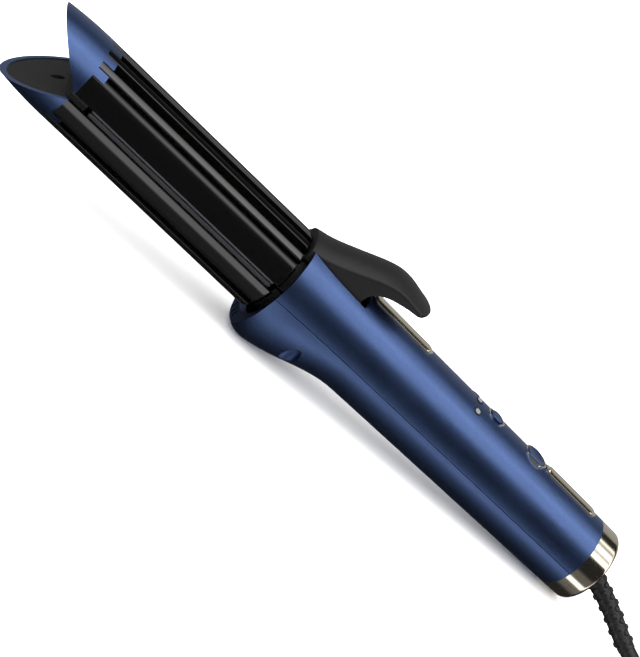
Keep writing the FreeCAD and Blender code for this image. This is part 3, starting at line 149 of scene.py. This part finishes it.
# %% Cord as a curve
# a curve's bounds grow by its points' radius, so the points carry the cord's radius and the bevel is 1
cord_curve = bpy.data.curves.new("mains_cord", "CURVE")
cord_curve.dimensions = "3D"
cord_curve.bevel_depth = 1.0
cord_curve.bevel_resolution = 5
cord_curve.resolution_u = 8
cord_curve.use_fill_caps = True
cord_line = cord_curve.splines.new("NURBS")
cord_line.points.add(len(cord_points) - 1)
for spot, point in zip(cord_line.points, cord_points):
    spot.co = (*point, 1.0)
    spot.radius = CORD_RADIUS
cord_line.order_u = 3
cord_line.use_endpoint_u = True
cord = bpy.data.objects.new("mains_cord", cord_curve)
bpy.context.scene.collection.objects.link(cord)
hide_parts("cord_run", "cord_hank", "cord_tail")
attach(cord, "cord_swivel")

# %% [markdown]
# ## Moulded surfaces
#
# No real surface is one flat value. A moulding has a fine spark texture from its tool, lacquer has
# metal flake under a clear coat, and everything that is handled carries faint smears that change its
# gloss. Each of these effects is a node group with named sockets, so every material can ask for it
# with its own scale and range.

# %% Helpers for node groups
def new_group(name, inputs, outputs):
    """A shader node group with float or colour sockets, and its input and output nodes."""
    group = bpy.data.node_groups.new(name, "ShaderNodeTree")
    for socket, kind, value in inputs:
        made = group.interface.new_socket(socket, in_out="INPUT", socket_type=kind)
        made.default_value = value
    for socket, kind in outputs:
        group.interface.new_socket(socket, in_out="OUTPUT", socket_type=kind)
    return group, group.nodes.new("NodeGroupInput"), group.nodes.new("NodeGroupOutput")


def noise_on(group, scale_from, coordinates, detail, roughness):
    """A noise over object coordinates, with its scale taken from a socket."""
    noise = group.nodes.new("ShaderNodeTexNoise")
    noise.inputs["Detail"].default_value = detail
    noise.inputs["Roughness"].default_value = roughness
    group.links.new(scale_from, noise.inputs["Scale"])
    group.links.new(coordinates.outputs["Object"], noise.inputs["Vector"])
    return noise


NOISE_LOW, NOISE_HIGH = 0.3, 0.7  # most of a noise lies between these


def spread(group, value, low, high):
    """Map a noise value to the range between two sockets."""
    node = group.nodes.new("ShaderNodeMapRange")
    node.inputs["From Min"].default_value = NOISE_LOW
    node.inputs["From Max"].default_value = NOISE_HIGH
    group.links.new(value, node.inputs["Value"])
    group.links.new(low, node.inputs["To Min"])
    group.links.new(high, node.inputs["To Max"])
    return node.outputs["Result"]


# %% Grain of a moulding: a fine height and a slight change of gloss
FLOAT, COLOUR = "NodeSocketFloat", "NodeSocketColor"
grain, grain_in, grain_out = new_group(
    "moulded_grain",
    [("Scale", FLOAT, 2500.0), ("Least Roughness", FLOAT, 0.4), ("Most Roughness", FLOAT, 0.55)],
    [("Height", FLOAT), ("Roughness", FLOAT)])
grain_place = grain.nodes.new("ShaderNodeTexCoord")
grain_noise = noise_on(grain, grain_in.outputs["Scale"], grain_place, 3.0, 0.6)
grain.links.new(grain_noise.outputs["Fac"], grain_out.inputs["Height"])
grain_gloss = spread(grain, grain_noise.outputs["Fac"], grain_in.outputs["Least Roughness"],
                     grain_in.outputs["Most Roughness"])
grain.links.new(grain_gloss, grain_out.inputs["Roughness"])

# %% Smears of handling: broad, soft changes of gloss
smears, smears_in, smears_out = new_group(
    "handling_smears",
    [("Scale", FLOAT, 60.0), ("Clean Roughness", FLOAT, 0.1), ("Smeared Roughness", FLOAT, 0.2)],
    [("Roughness", FLOAT)])
smears_place = smears.nodes.new("ShaderNodeTexCoord")
smears_noise = noise_on(smears, smears_in.outputs["Scale"], smears_place, 4.0, 0.55)
smears_gloss = spread(smears, smears_noise.outputs["Fac"], smears_in.outputs["Clean Roughness"],
                      smears_in.outputs["Smeared Roughness"])
smears.links.new(smears_gloss, smears_out.inputs["Roughness"])

# %% Metal flake: tiny cells that tilt and tint the lacquer
flake, flake_in, flake_out = new_group(
    "metal_flake",
    [("Scale", FLOAT, 6000.0), ("Dark", COLOUR, (0.04, 0.08, 0.28, 1)),
     ("Light", COLOUR, (0.08, 0.14, 0.4, 1))],
    [("Color", COLOUR), ("Height", FLOAT)])
flake_place = flake.nodes.new("ShaderNodeTexCoord")
flake_cells = flake.nodes.new("ShaderNodeTexVoronoi")
flake.links.new(flake_in.outputs["Scale"], flake_cells.inputs["Scale"])
flake.links.new(flake_place.outputs["Object"], flake_cells.inputs["Vector"])
flake_grey = flake.nodes.new("ShaderNodeRGBToBW")
flake.links.new(flake_cells.outputs["Color"], flake_grey.inputs["Color"])
flake_mix = flake.nodes.new("ShaderNodeMix")
flake_mix.data_type = "RGBA"
flake.links.new(flake_grey.outputs["Val"], flake_mix.inputs["Factor"])
flake.links.new(flake_in.outputs["Dark"], flake_mix.inputs["A"])
flake.links.new(flake_in.outputs["Light"], flake_mix.inputs["B"])
flake.links.new(flake_mix.outputs["Result"], flake_out.inputs["Color"])
flake.links.new(flake_grey.outputs["Val"], flake_out.inputs["Height"])
print("effects:", grain.name, smears.name, flake.name)

# %% [markdown]
# ## The finishes
#
# A finish is one Principled shader, with the effects of its surface plugged into it. Mouldings get a
# gloss that varies and a fine height. Polished surfaces get a gloss that varies.


# %% Helper for a finish
def new_finish(name, colour, metallic=0.0, **plain):
    """A material with one Principled shader, and numbers for its own sockets."""
    material = bpy.data.materials.new(name)
    material.use_nodes = True
    shader = material.node_tree.nodes["Principled BSDF"]
    shader.inputs["Base Color"].default_value = (*colour, 1)
    shader.inputs["Metallic"].default_value = metallic
    material.diffuse_color = (*colour, 1)
    for socket, value in plain.items():
        shader.inputs[socket.replace("_", " ")].default_value = value
    return material, material.node_tree, shader


def add_effect(tree, group, **values):
    """Put a node group in a material, with values for its inputs."""
    node = tree.nodes.new("ShaderNodeGroup")
    node.node_tree = group
    for socket, value in values.items():
        node.inputs[socket.replace("_", " ")].default_value = value
    return node


def add_height(tree, shader, height, depth):
    """Let a height bend the shader's normal, for a surface this deep."""
    bump = tree.nodes.new("ShaderNodeBump")
    bump.inputs["Distance"].default_value = depth
    tree.links.new(height, bump.inputs["Height"])
    tree.links.new(bump.outputs["Normal"], shader.inputs["Normal"])


def moulding(name, colour, least, most, scale=2500.0, depth=0.02 * MM, **plain):
    """A plastic or rubber surface with the grain of its mould."""
    material, tree, shader = new_finish(name, colour, **plain)
    effect = add_effect(tree, grain, Scale=scale, Least_Roughness=least, Most_Roughness=most)
    tree.links.new(effect.outputs["Roughness"], shader.inputs["Roughness"])
    add_height(tree, shader, effect.outputs["Height"], depth)
    return material


def polished(name, colour, clean, smeared, scale=60.0, metallic=1.0, **plain):
    """A plated, coated or machined surface with faint smears."""
    material, tree, shader = new_finish(name, colour, metallic, **plain)
    effect = add_effect(tree, smears, Scale=scale, Clean_Roughness=clean, Smeared_Roughness=smeared)
    tree.links.new(effect.outputs["Roughness"], shader.inputs["Roughness"])
    return material


# %% Blue lacquer
blue_lacquer, lacquer_tree, lacquer = new_finish(
    "blue_lacquer", (0.075, 0.13, 0.36), 1.0, Coat_Weight=0.25, Coat_Roughness=0.3)
lacquer_flake = add_effect(lacquer_tree, flake, Scale=5200.0, Dark=(0.062, 0.11, 0.27, 1),
                           Light=(0.094, 0.155, 0.345, 1))
lacquer_smears = add_effect(lacquer_tree, smears, Scale=45.0, Clean_Roughness=0.36, Smeared_Roughness=0.42)
lacquer_tree.links.new(lacquer_flake.outputs["Color"], lacquer.inputs["Base Color"])
lacquer_tree.links.new(lacquer_smears.outputs["Roughness"], lacquer.inputs["Roughness"])
add_height(lacquer_tree, lacquer, lacquer_flake.outputs["Height"], 0.002 * MM)

# %% Plastics, coatings and metals
finishes = {
    "satin_blue": blue_lacquer,
    "gold_chrome": polished("champagne_plating", (0.86, 0.78, 0.63), 0.1, 0.14),
    "gloss_black": polished("glazed_black", (0.0015, 0.0015, 0.0015), 0.1, 0.13, scale=90.0,
                            metallic=0.0, IOR=1.62),
    "insert_black": moulding("sparked_black", (0.004, 0.004, 0.0038), 0.5, 0.66),
    "frame_black": moulding("glass_filled_black", (0.004, 0.004, 0.004), 0.45, 0.6, scale=1800.0),
    "lever_grey": moulding("soft_touch_grey", (0.0035, 0.0035, 0.0035), 0.46, 0.58, scale=3200.0),
    "plate_coating": polished("plate_glaze", (0.11, 0.11, 0.12), 0.3, 0.38, scale=140.0, metallic=0.8),
    "heater_ceramic": moulding("fired_white", (0.78, 0.76, 0.70), 0.55, 0.7, scale=1200.0),
    "bare_steel": polished("zinc_plate", (0.52, 0.53, 0.54), 0.24, 0.34, scale=300.0),
    "black_steel": polished("oxide_black", (0.05, 0.05, 0.055), 0.35, 0.45, scale=300.0),
    "board_green": moulding("solder_mask", (0.02, 0.13, 0.06), 0.25, 0.35, scale=900.0),
    "lens_white": moulding("clear_lens", (0.16, 0.165, 0.175), 0.1, 0.14, scale=900.0,
                           depth=0.004 * MM, Coat_Weight=0.6),
    "socket_nylon": moulding("black_nylon", (0.03, 0.03, 0.03), 0.4, 0.5),
    "cord_black": moulding("cord_sheath", (0.005, 0.005, 0.005), 0.4, 0.5, scale=1500.0),
    "plug_brass": polished("nickel_pin", (0.72, 0.66, 0.52), 0.16, 0.24, scale=260.0),
}
slot_of = {part["node"]: part["material_slot"] for part in frame["record"]["subparts"]}
for name, node in frame["nodes"].items():
    node.data.materials.clear()
    node.data.materials.append(finishes[slot_of[name]])
cord.data.materials.append(finishes["cord_black"])
print("finished", len(slot_of), "fixed pieces with", len(finishes), "finishes")

# %% [markdown]
# ## The strain relief
#
# A swivel cord wears out where it leaves the handle, so a long rubber boot guards its first
# stretch. Here it starts smooth and flared and goes on in rows of raised knobs, set like bricks, which
# let it bend without kinking. A grid is rolled into a tube, blocks of its faces are raised with an
# inset, and a subdivision surface makes the knobs round. The straight boot is then laid along the
# cord's own line, read back from the spline.

# %% Helpers for modelling by hand
def only(piece):
    """Select one piece and make it active."""
    bpy.ops.object.select_all(action="DESELECT")
    piece.select_set(True)
    bpy.context.view_layer.objects.active = piece


def pick_faces(piece, wanted):
    """In edit mode, select just the faces whose middle is wanted."""
    mesh = bmesh.from_edit_mesh(piece.data)
    bpy.ops.mesh.select_mode(type="FACE")
    for face in mesh.faces:
        face.select = False
    mesh.select_flush(False)
    for face in mesh.faces:
        if wanted(face.calc_center_median()):
            face.select = True
    mesh.select_flush(True)
    bmesh.update_edit_mesh(piece.data)


def add_modifier(piece, kind, **settings):
    """Add a modifier to a piece and apply it."""
    only(piece)
    modifier = piece.modifiers.new(kind.lower(), kind)
    for setting, value in settings.items():
        setattr(modifier, setting, value)
    bpy.ops.object.modifier_apply(modifier=modifier.name)


def line_of(curve_piece):
    """The points that the cord's bare spline runs through."""
    bare = curve_piece.data.copy()
    bare.bevel_depth = 0
    bare_piece = bpy.data.objects.new("bare_line", bare)
    mesh = bpy.data.meshes.new_from_object(bare_piece)
    points = [vertex.co.copy() for vertex in mesh.vertices]
    bpy.data.objects.remove(bare_piece)
    bpy.data.meshes.remove(mesh)
    return points


def follow_line(piece, points):
    """Lay a piece that was modelled along +X, from x = 0, on a line of points.

    Near each end of a step the direction leans to the neighbouring step's, so bends stay smooth.
    """
    reach = [0.0]
    for start, end in zip(points, points[1:]):
        reach.append(reach[-1] + (end - start).length)
    for vertex in piece.data.vertices:
        along = max(vertex.co.x, 0.0)
        k = max(i for i in range(len(reach) - 1) if reach[i] <= along)
        step = points[k + 1] - points[k]
        centre = points[k] + step.normalized() * (along - reach[k])
        before = points[max(k - 1, 0) + 1] - points[max(k - 1, 0)]
        after = points[min(k + 2, len(points) - 1)] - points[min(k + 1, len(points) - 2)]
        share = (along - reach[k]) / max(step.length, 1e-9)
        ahead = (step.normalized() + (before.normalized() if share < 0.5 else after.normalized())
                 * abs(share - 0.5)).normalized()
        side = Vector((0, 0, 1)).cross(ahead).normalized()
        over = ahead.cross(side)
        lean = ahead * min(vertex.co.x, 0.0)
        vertex.co = centre + lean + side * vertex.co.y + over * vertex.co.z
    piece.data.update()


# %% Knobbly boot
BOOT_LENGTH = 38.5 * MM
BOOT_ROWS, BOOT_AROUND = 30, 16
PLAIN_ROWS = 5  # the smooth flare has no knobs
BOOT_R, BOOT_TAPER, BOOT_FLARE = 3.95, 0.35, 1.9  # millimetres
FLARE_FALL = 11  # how fast the flare dies away along the boot
KNOB_GAP, KNOB_SLOPE, KNOB_HEIGHT = 0.12 * MM, 0.22 * MM, 0.62 * MM
BOOT_WALL = 0.35 * MM


def boot_radius(along):
    """Flared at the swivel, then a slow taper to the tip."""
    share = along / BOOT_LENGTH
    return (BOOT_R - BOOT_TAPER * share + BOOT_FLARE * math.exp(-share * FLARE_FALL)) * MM


bpy.ops.object.select_all(action="DESELECT")
bpy.ops.mesh.primitive_grid_add(
    x_subdivisions=BOOT_ROWS, y_subdivisions=BOOT_AROUND, size=1, location=(0, 0, 0))
boot = bpy.context.object
boot.name = "knobbly_boot"
for vertex in boot.data.vertices:
    along = (vertex.co.x + 0.5) * BOOT_LENGTH
    turn = (vertex.co.y + 0.5) * math.tau
    radius = boot_radius(along)
    vertex.co = (along, radius * math.cos(turn), radius * math.sin(turn))
only(boot)
bpy.ops.object.mode_set(mode="EDIT")
bpy.ops.mesh.select_all(action="SELECT")
bpy.ops.mesh.remove_doubles(threshold=0.00001)
bpy.ops.mesh.normals_make_consistent(inside=False)


def is_knob(middle):
    """Two rows by two columns make a knob, and the next two rows are set half way between."""
    row = int(middle.x / BOOT_LENGTH * BOOT_ROWS)
    column = int((math.atan2(middle.z, middle.y) % math.tau) / math.tau * BOOT_AROUND)
    return PLAIN_ROWS <= row < BOOT_ROWS - 1 and (row % 4 in (0, 1)) == (column // 2 % 2 == 0)


pick_faces(boot, is_knob)
bpy.ops.mesh.inset(thickness=KNOB_GAP, depth=0.0, use_individual=False)
bpy.ops.mesh.inset(thickness=KNOB_SLOPE, depth=KNOB_HEIGHT, use_individual=False)
bpy.ops.object.mode_set(mode="OBJECT")
add_modifier(boot, "SOLIDIFY", thickness=BOOT_WALL, offset=-1.0)
add_modifier(boot, "SUBSURF", levels=1, render_levels=1)
follow_line(boot, line_of(cord))
bpy.ops.object.shade_smooth()
boot.data.materials.append(finishes["cord_black"])
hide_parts("strain_relief")
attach(boot, "cord_swivel")
print("boot:", len(boot.data.polygons), "faces")

# %% [markdown]
# ## The thumb lever
#
# The lever is a soft-touch moulding, and nothing on it is sharp. Rounding every edge of a curved solid
# by hand is slow, so a copy of the fixed shape is remade as an even skin of small faces. Smoothing
# then rounds what was sharp and leaves the broad surfaces nearly alone.


# %% Helper for rounding a copied solid
def rounded_copy(node, name, voxel, passes, strength=0.6):
    """A copy of a fixed piece with its edges rounded, which takes the fixed piece's place."""
    source = frame["nodes"][node]
    piece = bpy.data.objects.new(name, source.data.copy())
    bpy.context.scene.collection.objects.link(piece)
    only(piece)
    bpy.ops.object.mode_set(mode="EDIT")
    bpy.ops.mesh.select_all(action="SELECT")
    bpy.ops.mesh.remove_doubles(threshold=0.000001)
    bpy.ops.object.mode_set(mode="OBJECT")
    add_modifier(piece, "REMESH", mode="VOXEL", voxel_size=voxel)
    add_modifier(piece, "SMOOTH", factor=strength, iterations=passes)
    bpy.ops.object.shade_smooth()
    piece.data.materials.clear()
    piece.data.materials.append(finishes[slot_of[node]])
    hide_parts(node)
    print(name, len(piece.data.polygons), "faces")
    return piece


# %% Rounded lever
lever = rounded_copy("thumb_lever", "soft_lever", 0.4 * MM, 4)
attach(lever, "clamp_arm")

# %% [markdown]
# ## The plug and the tie
#
# The plug is a soft moulding over its pins, so its corners are worn round like the lever's, and the
# tie is a flat band of the same rubber. Both are rounded in the same way.

# %% Rounded plug and tie
plug = rounded_copy("plug_body", "moulded_plug", 0.5 * MM, 5)
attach(plug, "cord_swivel")
tie = rounded_copy("hank_tie", "rubber_tie", 0.35 * MM, 3, strength=0.4)
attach(tie, "cord_swivel")

# %% [markdown]
# ## Room and light
#
# A white floor and an even white sky give a soft base with hardly any shadow. Lacquer and plating show
# what they mirror, so the sky that they see has its own plan: three long bright strips overhead, dark
# gaps before and behind them, and one more strip below the horizon in front.

# %% Floor
bpy.ops.object.select_all(action="DESELECT")
bpy.ops.mesh.primitive_plane_add(size=12, location=(0, 0, 0))
floor = bpy.context.object
floor.name = "floor"
floor.data.materials.append(moulding("white_floor", (0.9, 0.9, 0.9), 0.9, 0.95, scale=4.0, depth=0.0))
floor.visible_glossy = False

# %% Sky
EVEN_SKY = 2.6
SKY_BANDS = (  # degrees up from the front horizon and over the top, and how bright
    (-180, 0.4), (-165, 0.02), (-85, 0.02), (-72, 0.12), (-50, 0.14), (-47, 1.7), (-36, 1.7), (-33, 0.12),
    (-12, 0.12), (-4, 0.02), (42, 0.02), (46, 2.2), (56, 2.2), (60, 0.7), (67, 0.7), (71, 2.8), (81, 2.8),
    (85, 0.5), (93, 0.5), (96, 1.4), (102, 1.4), (106, 0.02), (128, 0.02), (134, 0.3), (180, 0.4))
world = bpy.data.worlds.new("studio")
world.use_nodes = True
world.cycles.sampling_method = "NONE"
sky = world.node_tree
sky_out = sky.nodes["World Output"]
even = sky.nodes["Background"]
even.inputs["Color"].default_value = (1, 1, 1, 1)
even.inputs["Strength"].default_value = EVEN_SKY
mirrored_sky = sky.nodes.new("ShaderNodeBackground")
look = sky.nodes.new("ShaderNodeTexCoord")
parts = sky.nodes.new("ShaderNodeSeparateXYZ")
sky.links.new(look.outputs["Generated"], parts.inputs["Vector"])
front = sky.nodes.new("ShaderNodeMath")
front.operation = "MULTIPLY"
front.inputs[1].default_value = -1.0
sky.links.new(parts.outputs["Y"], front.inputs[0])
around = sky.nodes.new("ShaderNodeMath")
around.operation = "ARCTAN2"
sky.links.new(parts.outputs["Z"], around.inputs[0])
sky.links.new(front.outputs["Value"], around.inputs[1])
share = sky.nodes.new("ShaderNodeMath")
share.operation = "MULTIPLY_ADD"
share.inputs[1].default_value = 1 / math.tau
share.inputs[2].default_value = 0.5
sky.links.new(around.outputs["Value"], share.inputs[0])
bands = sky.nodes.new("ShaderNodeValToRGB")
sky.links.new(share.outputs["Value"], bands.inputs["Fac"])
SKY_MOST = 4.0
stops = bands.color_ramp.elements
for angle, bright in SKY_BANDS:
    place = (angle + 180) / 360
    stop = {0.0: stops[0], 1.0: stops[-1]}.get(place) or stops.new(place)
    level = bright / SKY_MOST
    stop.color = (level, level, level, 1)
mirrored_sky.inputs["Strength"].default_value = SKY_MOST
sky.links.new(bands.outputs["Color"], mirrored_sky.inputs["Color"])
which = sky.nodes.new("ShaderNodeLightPath")
both = sky.nodes.new("ShaderNodeMixShader")
sky.links.new(which.outputs["Is Glossy Ray"], both.inputs["Fac"])
sky.links.new(even.outputs["Background"], both.inputs[1])
sky.links.new(mirrored_sky.outputs["Background"], both.inputs[2])
sky.links.new(both.outputs["Shader"], sky_out.inputs["Surface"])
bpy.context.scene.world = world
bpy.context.scene.view_settings.view_transform = "Standard"
print("sky:", len(stops), "stops, brightest", max(bright for angle, bright in SKY_BANDS))


# %% Softbox
def softbox(name, place, target, width, height, power):
    """A rectangular lamp that faces a point and isn't mirrored."""
    light = bpy.data.lights.new(name, "AREA")
    light.shape = "RECTANGLE"
    light.size, light.size_y = width, height
    light.energy = power
    lamp = bpy.data.objects.new(name, light)
    bpy.context.scene.collection.objects.link(lamp)
    lamp.location = place
    lamp.rotation_euler = (Vector(place) - Vector(target)).to_track_quat("Z", "Y").to_euler()
    lamp.visible_glossy = False
    print(name, power, "W")


softbox("softbox_top", (-0.1, -0.35, 1.6), (0, 0, 0.02), 1.2, 0.8, 9)
